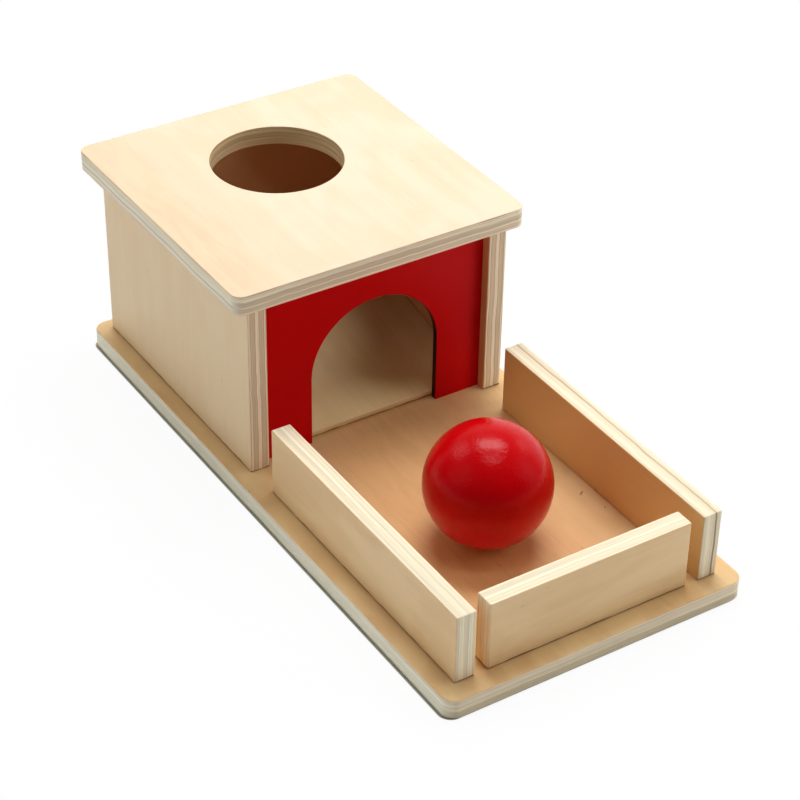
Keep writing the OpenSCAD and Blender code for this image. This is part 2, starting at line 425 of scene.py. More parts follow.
@dataclass(frozen=True)
class RedLacquer:
    """Opaque red lacquer on wood, sprayed or dipped.

    It gives an even, saturated red with a soft gloss. The wood's grain, or the orange peel of the
    coat, shows only as a slight unevenness of the highlights: peel is its size and relief its
    height, in millimetres. cut is the colour of a burnt cut edge.
    """

    name: str
    paint: str
    shade: str
    roughness: float
    peel: tuple[float, float, float]
    relief: float
    specular: float
    cut: str | None = None

    def build(self) -> Material:
        """Makes the material, with a burnt cut edge where the finish has one.

        Returns:
            The finished material.
        """
        material, tree, shader = new_material(self.name)
        grain = add(tree, "Attribute", output="Vector", attribute_name="grain")
        # The coat is a little thinner in places: soft clouds about 25 mm wide.
        cloud = pattern(tree, grain, per_metre(40, 22, 22), Detail=2.0)
        colour = add(tree, "Mix", cloud, self.paint, self.shade, data_type="RGBA")
        if self.cut:
            # The cutter's burn starts 3% of the thickness in and is full at 10%.
            burnt = inside_edge(tree, add(tree, "SeparateXYZ", grain, output="Z"), 0.03, 0.1)
            colour = add(tree, "Mix", burnt, colour, self.cut, data_type="RGBA")
        peel = pattern(tree, grain, per_metre(*self.peel), Detail=2.0)
        bump = add(tree, "Bump", Height=peel, Strength=0.5, Distance=self.relief * MM)
        gloss = add(tree, "MapRange", cloud, 0.3, 0.7, self.roughness - 0.03, self.roughness + 0.03)
        feed(shader, {"Base Color": colour, "Normal": bump, "Roughness": gloss,
                      "Specular IOR Level": self.specular})
        return material


@dataclass(frozen=True)
class SolidWood:
    """Planed solid wood without varnish: matt, with darker growth lines along its length.

    along is the direction of its length, and ring the width of a growth line in millimetres.
    """

    name: str
    early: str
    late: str
    along: Axis
    ring: float

    def build(self) -> Material:
        """Makes the material on Object coordinates, for pieces that keep their CAD mesh.

        Returns:
            The finished material.
        """
        material, tree, shader = new_material(self.name)
        # Growth lines one ring apart, twenty times as long as they are wide.
        lengths = self.ring * (1 + 19 * np.array(self.along.value))
        where = add(tree, "TexCoord", output="Object")
        rings = pattern(tree, where, per_metre(*lengths.tolist()), Detail=3.0)
        wood = add(tree, "ValToRGB", rings, stops=((0.3, self.early), (0.72, self.late)))
        bump = add(tree, "Bump", Height=rings, Strength=0.3, Distance=0.05 * MM)
        feed(shader, {"Base Color": wood, "Normal": bump, "Roughness": 0.7})
        return material


@dataclass(frozen=True)
class ZincPlatedSteel:
    """Bright zinc on a rolled steel screw: a cool grey metal, slightly cloudy and scratched."""

    name: str
    bright: str
    dull: str

    def build(self) -> Material:
        """Makes the material on Object coordinates.

        Returns:
            The finished material.
        """
        material, tree, shader = new_material(self.name)
        # Spangle of the plating, about 1.5 mm across.
        where = add(tree, "TexCoord", output="Object")
        spangle = pattern(tree, where, per_metre(1.5, 1.5, 1.5), Detail=3.0)
        metal = add(tree, "ValToRGB", spangle, stops=((0.3, self.bright), (0.7, self.dull)))
        rough = add(tree, "MapRange", spangle, 0.0, 1.0, 0.24, 0.42)
        feed(shader, {"Base Color": metal, "Roughness": rough, "Metallic": 1.0})
        return material


# Places of the glue lines through a 9 mm board of five plies, as shares of its thickness.
FIVE_PLIES = (0.15, 0.39, 0.61, 0.85)


def ply_stack(colours: Sequence[str], glue: str, arris: tuple[str, str],
              lines: Sequence[float] = FIVE_PLIES) -> Stops:
    """Gives the colours through a board: its plies, the glue lines between them and both arrises.

    A glue line is full at its place and gone 3% of the thickness away from it. The arrises' colours
    reach 3% in, and the outer plies' colours start 8% in.

    Args:
        colours: sRGB colour of each ply.
        glue: sRGB colour of the glue lines.
        arris: sRGB colours of the first and the last edge, darkened by varnish and handling, and on
            some boards also by painted shade of an eased edge turned away from the light.
        lines: places of the glue lines, as shares of the thickness.

    Returns:
        Places and colours for a colour ramp.
    """
    fade, rim = 0.03, 0.05
    stops = [(fade, arris[0])]
    for colour, start, end in zip(colours, (rim, *lines), (*lines, 1 - rim)):
        stops += [(start + fade, colour), (end - fade, colour), (end, glue)]
    return tuple(stops[:-1]) + ((1 - fade, arris[1]),)


# Outlines and skins


@dataclass(frozen=True)
class Outline:
    """A closed curve in a board's plane: points and outward normals, (N, 2) arrays in metres."""

    points: np.ndarray
    normals: np.ndarray


@dataclass(frozen=True)
class Profile:
    """The section of a board's side from one face to the other, carried round an outline.

    inset is the distance in from the outline, height the place through the board, and tilt the
    angle of the surface's normal above the board's plane, in radians.
    """

    inset: np.ndarray
    height: np.ndarray
    tilt: np.ndarray


# A blind hole: its outline, the height of its floor, and True where it opens upwards.
Pocket = tuple[Outline, float, bool]


def rounded_polygon(corners: Sequence[tuple[float, float]], radii: float | Sequence[float],
                    steps: int = 5) -> Outline:
    """Rounds a polygon's corners with arcs that touch both sides.

    Each arc starts at the corner less radius times tan(half the turn), and its normal turns evenly
    from the first side's to the second's. An inward corner has the arc's centre outside.

    Args:
        corners: the polygon's corners, anticlockwise.
        radii: one radius for all corners, or one for each.
        steps: points on each arc.

    Returns:
        The outline, with steps points for each corner.
    """
    corner = np.asarray(corners, dtype=float)
    radius = np.broadcast_to(np.asarray(radii, dtype=float), len(corner))[:, None]
    before = corner - np.roll(corner, 1, axis=0)
    before /= np.linalg.norm(before, axis=1, keepdims=True)
    after = np.roll(before, -1, axis=0)
    turn = np.arctan2(before[:, 0] * after[:, 1] - before[:, 1] * after[:, 0], (before * after).sum(axis=1))
    angle = np.arctan2(-before[:, 0], before[:, 1])[:, None] + turn[:, None] * np.linspace(0, 1, steps)
    normals = np.stack([np.cos(angle), np.sin(angle)], axis=-1)
    side = np.sign(turn)[:, None]
    centre = corner - before * radius * np.tan(np.abs(turn) / 2)[:, None] - side * radius * normals[:, 0]
    points = centre[:, None] + (side * radius)[:, None] * normals
    return Outline(points.reshape(-1, 2), normals.reshape(-1, 2))


def rectangle(low: np.ndarray, high: np.ndarray, radius: float, steps: int = 5) -> Outline:
    """Gives the outline of a box seen from above.

    Args:
        low: the box's lowest corner.
        high: its highest corner.
        radius: radius of the rounded corners.
        steps: points on each of them.

    Returns:
        The outline.
    """
    (x0, y0), (x1, y1) = low[:2], high[:2]
    return rounded_polygon([(x0, y0), (x1, y0), (x1, y1), (x0, y1)], radius, steps)


def round_hole(x: float, y: float, radius: float, steps: int = 16) -> Outline:
    """Gives the outline of a round hole: clockwise, with normals towards its centre.

    Args:
        x: the centre's first place in the board's plane.
        y: its second place.
        radius: the hole's radius.
        steps: points round it.

    Returns:
        The outline, centre + radius (cos a, sin a) for angles a that fall from 0 to a whole turn.
    """
    angle = -np.linspace(0, 2 * math.pi, steps, endpoint=False)
    ray = np.stack([np.cos(angle), np.sin(angle)], axis=-1)
    return Outline(np.array([x, y]) + radius * ray, -ray)


def eased_profile(low: float, high: float, ease: float, steps: int = 5) -> Profile:
    """Gives a straight side whose two edges are eased by a quarter circle.

    On the quarter circle, inset = ease (1 - cos tilt) and height = ease (1 - sin |tilt|) in from
    the face.

    Args:
        low: height of the lower face.
        high: height of the upper face.
        ease: radius of the eased edges.
        steps: rings on each eased edge.

    Returns:
        The profile from the lower face to the upper one.
    """
    up = np.linspace(0, math.pi / 2, steps)
    tilt = np.concatenate([-up[::-1], up])
    inset = ease * (1 - np.cos(tilt))
    height = np.concatenate([low + ease * (1 - np.sin(up[::-1])), high - ease * (1 - np.sin(up))])
    return Profile(inset, height, tilt)


def blind_profile(face: float, floor: float, ease: float) -> Profile:
    """Gives the side of a blind hole, from the lower of its two ends to the upper.

    The mouth at the board's face is eased outwards and the hole's floor has a small fillet, both
    quarter circles of radius ease.

    Args:
        face: height of the board's face that the hole opens into.
        floor: height of the hole's end inside the board.
        ease: radius of both quarter circles.

    Returns:
        The profile, in rising order of height.
    """
    up = np.linspace(0, math.pi / 2, 3)
    way = 1 if floor > face else -1
    out, rise = ease * (1 - np.cos(up)), way * ease * (1 - np.sin(up))
    tilt = -way * np.concatenate([up[::-1], up])
    inset = np.concatenate([out[::-1], -out])
    height = np.concatenate([face + rise[::-1], floor - rise])
    return Profile(inset[::way], height[::way], tilt[::way])


def fill(points: np.ndarray, loops: Sequence[int]) -> np.ndarray:
    """Fills the flat area between loops of points with triangles.

    A constrained triangulation joins all the points, and a triangle stays where a ray from its
    middle crosses the loops an odd number of times.

    Args:
        points: the loops' points one after another, (N, 2).
        loops: the number of points in each loop.

    Returns:
        Anticlockwise triangles as numbers of points, (T, 3).
    """
    starts = np.concatenate([[0], np.cumsum(loops)])
    first = np.arange(len(points))
    last = first + 1
    last[starts[1:] - 1] = starts[:-1]
    found = delaunay_2d_cdt(points.tolist(), np.stack([first, last], axis=1).tolist(), [], 0, 1e-9)
    origin = np.array([numbers[0] for numbers in found[3]])
    triangles = origin[np.array(found[2])]
    middle = points[triangles].mean(axis=1)[:, None]
    a, b = points[first][None], points[last][None]
    level = (a[..., 1] > middle[..., 1]) != (b[..., 1] > middle[..., 1])
    rise = np.where(level, b[..., 1] - a[..., 1], 1.0)
    ahead = middle[..., 0] < a[..., 0] + (b[..., 0] - a[..., 0]) * (middle[..., 1] - a[..., 1]) / rise
    return triangles[(level & ahead).sum(axis=1) % 2 == 1]


@dataclass
class Skin:
    """The closed skin of one board as it is put together: rings, quads and flat faces."""

    points: list[np.ndarray] = field(default_factory=list)
    normals: list[np.ndarray] = field(default_factory=list)
    scorched: list[np.ndarray] = field(default_factory=list)
    faces: list[list[int]] = field(default_factory=list)
    count: int = 0

    def wall(self, outline: Outline, profile: Profile,
             scorched: float = 0.0) -> tuple[np.ndarray, np.ndarray]:
        """Carries a profile round an outline.

        A point is outline - normal * inset, at the profile's height, and its normal is
        normal * cos(tilt) + up * sin(tilt).

        Args:
            outline: the closed curve.
            profile: the section of the side.
            scorched: 1 where the tool has browned the wood.

        Returns:
            The vertex numbers of the lowest ring and of the highest ring.
        """
        rings, around = len(profile.inset), len(outline.points)
        flat = outline.points[None] - outline.normals[None] * profile.inset[:, None, None]
        height = np.broadcast_to(profile.height[:, None, None], (rings, around, 1))
        side = outline.normals[None] * np.cos(profile.tilt)[:, None, None]
        lift = np.broadcast_to(np.sin(profile.tilt)[:, None, None], (rings, around, 1))
        self.points.append(np.concatenate([flat, height], axis=2).reshape(-1, 3))
        self.normals.append(np.concatenate([side, lift], axis=2).reshape(-1, 3))
        self.scorched.append(np.full(rings * around, scorched))
        number = self.count + np.arange(rings * around).reshape(rings, around)
        right = np.roll(number, -1, axis=1)
        quads = np.stack([number[:-1], right[:-1], right[1:], number[1:]], axis=-1)
        self.faces += quads.reshape(-1, 4).tolist()
        self.count += rings * around
        return number[0], number[-1]

    def cap(self, rings: Sequence[np.ndarray], up: bool) -> None:
        """Closes the flat face between rings.

        Args:
            rings: the vertex numbers of each ring round the face.
            up: True where the face looks up.
        """
        number = np.concatenate(rings)
        triangles = number[fill(np.concatenate(self.points)[number, :2], [len(ring) for ring in rings])]
        self.faces += (triangles if up else triangles[:, ::-1]).tolist()


@dataclass(frozen=True)
class Grain:
    """Where a board's grain runs, and which way its plies are stacked.

    along and through are unit directions in the frame, start the place of the plies' first face
    along through, and thickness the distance to the last. seed moves the pattern, 0.71 m along and
    0.37 m across for each 1, so that no two boards show the same figure.
    """

    along: tuple[float, float, float]
    through: tuple[float, float, float]
    start: float
    thickness: float
    seed: float

    def cut(self, normals: np.ndarray, scorched: np.ndarray) -> np.ndarray:
        """Gives how far each point's surface cuts the face grain across, and how scorched it is.

        Args:
            normals: the surface's normals, (N, 3).
            scorched: 1 on the wall of a hole and 0 elsewhere, (N,).

        Returns:
            The two shares and a zero, (N, 3).
        """
        return np.stack([np.abs(normals @ np.array(self.along)), scorched, 0 * scorched], axis=1)

    def coordinates(self, points: np.ndarray) -> np.ndarray:
        """Gives each point's metres along the grain and across it, and its share of the depth.

        Args:
            points: places in the frame, (N, 3).

        Returns:
            The three coordinates, (N, 3).
        """
        along, through = np.array(self.along), np.array(self.through)
        across = np.cross(through, along)
        return np.stack([points @ along + 0.71 * self.seed, points @ across + 0.37 * self.seed,
                         (points @ through - self.start) / self.thickness], axis=1)


def inward_grain(along: Axis, through: Axis, inward: int, low: np.ndarray, high: np.ndarray,
                 seed: float) -> Grain:
    """Gives a square board's grain, with its inner face at the depth's far end.

    Args:
        along: the direction of the face grain.
        through: the direction through the board.
        inward: 1 where the inner face is the one at high, -1 where it is the one at low.
        low: the board's lowest corner.
        high: its highest corner.
        seed: moves the pattern.

    Returns:
        The board's grain.
    """
    turned = tuple(inward * share for share in through.value)
    first, last = float(low @ through.value), float(high @ through.value)
    return Grain(along.value, turned, first if inward > 0 else -last, last - first, seed)


def make_piece(name: str, points: np.ndarray, normals: np.ndarray, faces: list[list[int]],
               **patterns: np.ndarray) -> bpy.types.Object:
    """Puts a worked-out surface into a mesh object at the origin.

    Args:
        name: the piece's name.
        points: vertices in the frame, (N, 3).
        normals: the true surface's normal at each vertex, (N, 3).
        faces: vertex numbers of each face, anticlockwise from outside.
        patterns: the attributes that its material reads, by name, each (N, 3).

    Returns:
        The new object.
    """
    mesh = bpy.data.meshes.new(name)
    mesh.from_pydata(points.tolist(), [], faces)
    mesh.polygons.foreach_set("use_smooth", np.ones(len(mesh.polygons), dtype=bool))
    for label, values in patterns.items():
        layer = mesh.attributes.new(label, "FLOAT_VECTOR", "POINT")
        layer.data.foreach_set("vector", values.astype(np.float32).ravel())
    mesh.validate()
    mesh.normals_split_custom_set_from_vertices(normals.tolist())
    mesh.update()
    piece = bpy.data.objects.new(name, mesh)
    bpy.context.scene.collection.objects.link(piece)
    return piece


@dataclass(frozen=True)
class Board:
    """One board: an outline with a thickness, its holes and its blind holes.

    u and v are the frame directions of the outline's plane, and the board rises along u x v from
    low to high. through holds the holes that pass it, pockets the blind holes with True for those
    in the upper face.
    """

    node: str
    outline: Outline
    low: float
    high: float
    grain: Grain
    ease: float
    u: Axis = Axis.X
    v: Axis = Axis.Y
    through: tuple[tuple[Outline, Profile], ...] = ()
    pockets: tuple[Pocket, ...] = ()
    pocket_ease: float = 0.15 * MM

    def build(self, finish: Material, slot: Slot) -> None:
        """Makes the board, dresses it and lets it stand for its CAD node.

        Args:
            finish: the board's material.
            slot: the record's slot that the finish belongs to; not used.
        """
        skin = Skin()
        bottom, top = skin.wall(self.outline, eased_profile(self.low, self.high, self.ease))
        lower, upper = [bottom], [top]
        for outline, profile in self.through:
            bottom, top = skin.wall(outline, profile, 1.0)
            lower.append(bottom)
            upper.append(top)
        for outline, floor, from_above in self.pockets:
            face = self.high if from_above else self.low
            bottom, top = skin.wall(outline, blind_profile(face, floor, self.pocket_ease))
            if from_above:
                upper.append(top)
                skin.cap([bottom], up=True)
            else:
                lower.append(bottom)
                skin.cap([top], up=False)
        skin.cap(lower, up=False)
        skin.cap(upper, up=True)
        u, v = np.array(self.u.value), np.array(self.v.value)
        place = np.stack([u, v, np.cross(u, v)])
        points = np.concatenate(skin.points) @ place
        normals = np.concatenate(skin.normals) @ place
        piece = make_piece(f"{self.node}_board", points, normals, skin.faces,
                           grain=self.grain.coordinates(points),
                           cut=self.grain.cut(normals, np.concatenate(skin.scorched)))
        dress(piece, finish, Body.BOX, self.node)


def dress(piece: bpy.types.Object, finish: Material, body: Body, node: str) -> None:
    """Gives a new piece its finish and ties it to the frame.

    Args:
        piece: the new piece.
        finish: its material.
        body: the body it moves with.
        node: the CAD node that it stands for.
    """
    piece.data.materials.append(finish)
    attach(piece, body.value)
    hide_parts(node)
    log.info("%s: %d vertices, stands for %s", piece.name, len(piece.data.vertices), node)


def paint_node(node: str, finish: Material) -> None:
    """Gives a carried-over CAD node its finish.

    Args:
        node: the node's name.
        finish: its material.
    """
    piece = frame["nodes"][node]
    if not piece.material_slots:
        piece.data.materials.append(finish)
    for place in piece.material_slots:
        place.material = finish
    log.info("%s: CAD mesh kept, now %s", node, finish.name)


def extent(node: str) -> tuple[np.ndarray, np.ndarray]:
    """Gives a node's lowest and highest corners as arrays."""
    low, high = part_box(node)
    return np.array(low), np.array(high)


# Sub-assemblies


@dataclass(frozen=True)
class Fixings:
    """Sizes and places of the screws and dowels that hold the boards, as in the CAD model."""

    screw_hole_d: float = 4.1 * MM
    countersink_d: float = 7.6 * MM
    head_sink: float = 0.4 * MM
    pilot_d: float = 3.6 * MM
    pilot_depth: float = 21.9 * MM
    dowel_hole_d: float = 5.1 * MM
    dowel_in_wall: float = 15.0 * MM
    dowel_in_lid: float = 6.0 * MM
    wall_screws: Places = ((59.0, 40.0), (59.0, 114.5))
    rail_screws: Places = ((58.1, -114.5), (58.1, -32.2))
    front_screws: Places = ((29.5, -138.0),)
    back_screws: Places = ((36.5, 138.0),)
    dowels: Places = ((59.0, 36.0), (59.0, 118.5))

    def both_sides(self, places: Places) -> Places:
        """Gives places in metres on the right and, mirrored, on the left."""
        return tuple((side * x * MM, y * MM) for side in (1, -1) for x, y in places)

    def countersunk(self, low: float, high: float) -> Profile:
        """Gives the side of a countersunk screw hole, as insets from the bore's outline.

        From the lower face up: a short straight rim, a 45 degree cone, then the bore.

        Args:
            low: height of the face with the countersink.
            high: height of the other face.

        Returns:
            The profile.
        """
        wide = (self.countersink_d - self.screw_hole_d) / 2
        rim, bevel = low + self.head_sink, 0.08 * MM
        quarter = math.pi / 4
        inset = np.array([wide + bevel, wide, wide, wide - bevel, bevel, 0.0, 0.0, bevel])
        height = np.array([low, low + bevel, rim - bevel, rim + bevel, rim + wide - bevel,
                           rim + wide + bevel, high - bevel, high])
        tilt = np.array([-2 * quarter, 0.0, 0.0, -quarter, -quarter, 0.0, 0.0, 2 * quarter])
        return Profile(inset, height, tilt)

    def pilots(self, places: Places, face: float) -> tuple[Pocket, ...]:
        """Gives the blind pilot holes that the screws bite into, from a board's lower face up."""
        return tuple((round_hole(x, y, self.pilot_d / 2), face + self.pilot_depth, False)
                     for x, y in places)


@dataclass(frozen=True)
class Plywoods:
    """The plywood finishes of the whole toy, one for each run of boards that look alike."""

    lid: Material
    walls: Material
    base: Material
    rails: Material
    dark_core: Material
    ramp: Material


@dataclass(frozen=True)
class Base:
    """The base board under tray and house, with the screws that come up through it."""

    fixings: Fixings
    corner_r: float = 6.0 * MM
    ease: float = 0.5 * MM

    def build(self, wood: Material, steel: Material) -> None:
        """Makes the base board and finishes the screws.

        Args:
            wood: plywood for the board.
            steel: metal for the screws.
        """
        low, high = extent("base_board")
        fix = self.fixings
        holes = [place for run in (fix.wall_screws, fix.rail_screws, fix.front_screws, fix.back_screws)
                 for place in fix.both_sides(run)]
        sunk = fix.countersunk(low[2], high[2])
        Board(
            "base_board", rectangle(low, high, self.corner_r, steps=9), low[2], high[2],
            inward_grain(Axis.Y, Axis.Z, 1, low, high, seed=1.0), self.ease,
            through=tuple((round_hole(x, y, fix.screw_hole_d / 2, steps=20), sunk) for x, y in holes),
        ).build(wood, Slot.BIRCH)
        paint_node("base_screws", steel)


@dataclass(frozen=True)
class House:
    """The house: two side walls with grooves, the back wall, the red door panel and the lid."""

    fixings: Fixings
    corner_r: float = 0.6 * MM
    ease: float = 0.4 * MM
    lid_corner_r: float = 5.0 * MM
    groove_depth: float = 3.0 * MM
    groove_gap: float = 0.1 * MM
    groove_corner_r: float = 0.2 * MM
    hole_r: float = 29.5 * MM
    arch_left: float = -30.8 * MM
    arch_right: float = 32.2 * MM
    arch_top: float = 73.0 * MM
    panel_ease: float = 0.2 * MM
    panel_corner_r: float = 0.25 * MM

    def build(self, woods: Plywoods, red: Material, beech: Material) -> None:
        """Makes the house's boards.

        Args:
            woods: the plywood finishes.
            red: lacquer for the door panel.
            beech: wood for the hidden dowels.
        """
        self.side_wall("left_wall", -1, seed=2.0).build(woods.walls, Slot.BIRCH)
        self.side_wall("right_wall", 1, seed=3.0).build(woods.walls, Slot.BIRCH)
        self.back_wall().build(woods.walls, Slot.BIRCH)
        self.lid().build(woods.lid, Slot.BIRCH)
        self.door_panel().build(red, Slot.RED_PANEL)
        paint_node("lid_dowels", beech)

    def side_wall(self, node: str, side: int, seed: float) -> Board:
        """Gives one side wall with the groove that holds the door panel.

        Args:
            node: the wall's node.
            side: 1 for the right wall, -1 for the left.
            seed: moves the grain's pattern.

        Returns:
            The wall as a board that rises from the base.
        """
        low, high = extent(node)
        panel_low, panel_high = extent("front_panel")
        inner, outer = (low[0], high[0]) if side > 0 else (high[0], low[0])
        y0, y1 = panel_low[1] - self.groove_gap, panel_high[1] + self.groove_gap
        deep = inner + side * self.groove_depth
        corners = [(outer, low[1]), (outer, high[1]), (inner, high[1]), (inner, y1), (deep, y1), (deep, y0),
                   (inner, y0), (inner, low[1])]
        # The mouth's radius is a touch over the ease, so that the eased edge doesn't fold over it.
        mouth, bottom = self.ease + 0.02 * MM, self.groove_corner_r
        radii = [self.corner_r] * 3 + [mouth, bottom, bottom, mouth] + [self.corner_r]
        if side < 0:
            corners, radii = corners[::-1], radii[::-1]
        fix = self.fixings
        pilots = tuple(place for place in fix.both_sides(fix.wall_screws) if place[0] * side > 0)
        dowels = tuple((round_hole(x, y, fix.dowel_hole_d / 2), high[2] - fix.dowel_in_wall, True)
                       for x, y in fix.both_sides(fix.dowels) if x * side > 0)
        return Board(
            node, rounded_polygon(corners, radii), low[2], high[2],
            inward_grain(Axis.Z, Axis.X, -side, low, high, seed), self.ease,
            pockets=fix.pilots(pilots, low[2]) + dowels,
        )

    def back_wall(self) -> Board:
        """Gives the back wall, which stands between the side walls.

        Returns:
            The wall as a board that rises from the base.
        """
        low, high = extent("back_wall")
        fix = self.fixings
        return Board(
            "back_wall", rectangle(low, high, self.corner_r), low[2], high[2],
            inward_grain(Axis.Z, Axis.Y, -1, low, high, seed=4.0), self.ease,
            pockets=fix.pilots(fix.both_sides(fix.back_screws), low[2]),
        )

    def lid(self) -> Board:
        """Gives the lid with the round hole that the ball is posted through.

        Returns:
            The lid as a board with one hole right through it and four blind holes below.
        """
        low, high = extent("lid")
        # The record's second mount is the middle of the hole that the ball is posted through.
        centre = frame["record"]["mounts"][1]["pos_m"]
        fix = self.fixings
        return Board(
            "lid", rectangle(low, high, self.lid_corner_r, steps=9), low[2], high[2],
            inward_grain(Axis.Y, Axis.Z, -1, low, high, seed=5.0), self.ease,
            through=((round_hole(centre[0], centre[1], self.hole_r, steps=128),
                      eased_profile(low[2], high[2], self.ease)),),
            pockets=tuple((round_hole(x, y, fix.dowel_hole_d / 2), low[2] + fix.dowel_in_lid, False)
                          for x, y in fix.both_sides(fix.dowels)),
        )

    def door_panel(self) -> Board:
        """Gives the thin door panel. Its arch is a slot whose two top corners meet in a half circle.

        Returns:
            The panel as a board whose outline stands upright.
        """
        low, high = extent("front_panel")
        half = (self.arch_right - self.arch_left) / 2
        corners = [(low[0], low[2]), (self.arch_left, low[2]), (self.arch_left, self.arch_top),
                   (self.arch_right, self.arch_top), (self.arch_right, low[2]), (high[0], low[2]),
                   (high[0], high[2]), (low[0], high[2])]
        # The top's two arcs stay a micron short of each other, so that no point is there twice.
        arc = half - 0.001 * MM
        radii = [self.panel_corner_r] * 2 + [arc] * 2 + [self.panel_corner_r] * 4
        # The outline lies in X and Z, so the panel rises along -Y: its heights are negative places.
        return Board(
            "front_panel", rounded_polygon(corners, radii, steps=40), -high[1], -low[1],
            inward_grain(Axis.Z, Axis.Y, 1, low, high, seed=6.0), self.panel_ease,
            u=Axis.X, v=Axis.Z,
        )


@dataclass(frozen=True)
class Ramp:
    """The ramp inside the house and the batten that carries its high end."""

    slope: float = math.radians(12.3)
    thickness: float = 3.0 * MM
    toe_flat: float = 2.0 * MM
    ease: float = 0.4 * MM

    def build(self, wood: Material, pine: Material) -> None:
        """Makes the ramp and finishes the batten.

        The section is a thin plate on the slope, cut flat where its toe rests on the base and
        upright at both ends.

        Args:
            wood: plywood for the ramp.
            pine: wood for the batten.
        """
        low, high = extent("ramp")
        rise = math.tan(self.slope)
        plumb = self.thickness / math.cos(self.slope)
        run = high[1] - low[1]
        top_back = high[2]
        top_toe = top_back - run * rise
        under_back = top_back - plumb
        flat_end = high[1] - (under_back - low[2]) / rise
        section = [(low[1], low[2]), (flat_end, low[2]), (high[1], under_back), (high[1], top_back),
                   (low[1], top_toe)]
        up = (0.0, -math.sin(self.slope), math.cos(self.slope))
        last = float(np.dot(up, (0.0, high[1], top_back)))
        # The corners' radius is a touch over the ease, so that the eased edge doesn't fold over them.
        Board(
            "ramp", rounded_polygon(section, self.ease + 0.05 * MM), low[0], high[0],
            Grain((0.0, math.cos(self.slope), math.sin(self.slope)), up, last - self.thickness,
                  self.thickness, seed=7.0), self.ease, u=Axis.Y, v=Axis.Z,
        ).build(wood, Slot.BIRCH)
        paint_node("ramp_batten", pine)


@dataclass(frozen=True)
class Tray:
    """The three rails round the tray."""

    fixings: Fixings
    corner_r: float = 0.6 * MM
    ease: float = 0.5 * MM

    def build(self, wood: Material, dark_core: Material) -> None:
        """Makes the rails.

        Args:
            wood: plywood for the left rail and the front rail.
            dark_core: plywood with one dark ply, for the right rail.
        """
        self.side_rail("left_rail", -1, seed=8.0).build(wood, Slot.BIRCH)
        self.side_rail("right_rail", 1, seed=9.0).build(dark_core, Slot.BIRCH)
        low, high = extent("front_rail")
        fix = self.fixings
        Board(
            "front_rail", rectangle(low, high, self.corner_r), low[2], high[2],
            inward_grain(Axis.X, Axis.Y, 1, low, high, seed=10.0), self.ease,
            pockets=fix.pilots(fix.both_sides(fix.front_screws), low[2]),
        ).build(wood, Slot.BIRCH)

    def side_rail(self, node: str, side: int, seed: float) -> Board:
        """Gives one side rail.

        Args:
            node: the rail's node.
            side: 1 for the right rail, -1 for the left.
            seed: moves the grain's pattern.

        Returns:
            The rail as a board that rises from the base.
        """
        low, high = extent(node)
        fix = self.fixings
        places = tuple(place for place in fix.both_sides(fix.rail_screws) if place[0] * side > 0)
        return Board(
            node, rectangle(low, high, self.corner_r), low[2], high[2],
            inward_grain(Axis.Y, Axis.X, -side, low, high, seed), self.ease,
            pockets=fix.pilots(places, low[2]),
        )


@dataclass(frozen=True)
class Ball:
    """The turned ball, lacquered red."""

    patch: int = 40
    wobble: float = 0.06 * MM

    def build(self, red: Material) -> None:
        """Makes the ball as six square patches that bulge onto the sphere.

        A patch is a grid over two angles from -45 to 45 degrees; a point's direction is
        (1, tan a, tan b) made unit long and turned to the patch's side. The lathe leaves the ball
        out of round by a few hundredths of a millimetre, with a radius smaller by
        wobble (1 - cos(2 p) cos(3 q) cos(p)) / 2, where p and q are the direction's height and its
        turn round the lathe's axis.

        Args:
            red: the lacquer.
        """
        low, high = extent("ball")
        centre, radius = (low + high) / 2, float(high[0] - low[0]) / 2
        angle = np.linspace(-math.pi / 4, math.pi / 4, self.patch + 1)
        a, b = np.meshgrid(np.tan(angle), np.tan(angle), indexing="ij")
        front = np.stack([np.ones_like(a), a, b], axis=-1).reshape(-1, 3)
        front /= np.linalg.norm(front, axis=1, keepdims=True)
        turns = np.array([
            [[1, 0, 0], [0, 1, 0], [0, 0, 1]], [[0, 1, 0], [-1, 0, 0], [0, 0, 1]],
            [[-1, 0, 0], [0, -1, 0], [0, 0, 1]], [[0, -1, 0], [1, 0, 0], [0, 0, 1]],
            [[0, 0, 1], [0, 1, 0], [-1, 0, 0]], [[0, 0, -1], [0, 1, 0], [1, 0, 0]],
        ], dtype=float)
        rays = np.concatenate([front @ turn for turn in turns])
        side = self.patch + 1
        number = np.arange(side * side).reshape(side, side)
        quad = np.stack([number[:-1, :-1], number[1:, :-1], number[1:, 1:], number[:-1, 1:]], axis=-1)
        quads = np.concatenate([quad.reshape(-1, 4) + k * side * side for k in range(len(turns))])
        # Points that two or three patches share, to a millionth of the radius, are made one.
        _, keep, share = np.unique(np.round(rays, 6), axis=0, return_index=True, return_inverse=True)
        rays, quads = rays[keep], share.reshape(-1)[quads]
        height = np.arcsin(np.clip(rays[:, 2], -1, 1))
        round_axis = np.arctan2(rays[:, 1], rays[:, 0])
        uneven = self.wobble * (1 - np.cos(2 * height) * np.cos(3 * round_axis) * np.cos(height)) / 2
        points = centre + rays * (radius - uneven)[:, None]
        piece = make_piece("turned_ball", points, rays, quads.tolist(), grain=points - centre)
        dress(piece, red, Body.BALL, "ball")


@dataclass(frozen=True)
class Lamp:
    """One soft box: where it hangs as seen from the subject, its sides in metres and power in watts.

    mirrored is False for the wide fills, because the picture's ball doesn't mirror them.
    """

    name: str
    direction: tuple[float, float, float]
    distance: float
    size: tuple[float, float]
    power: float
    mirrored: bool = True


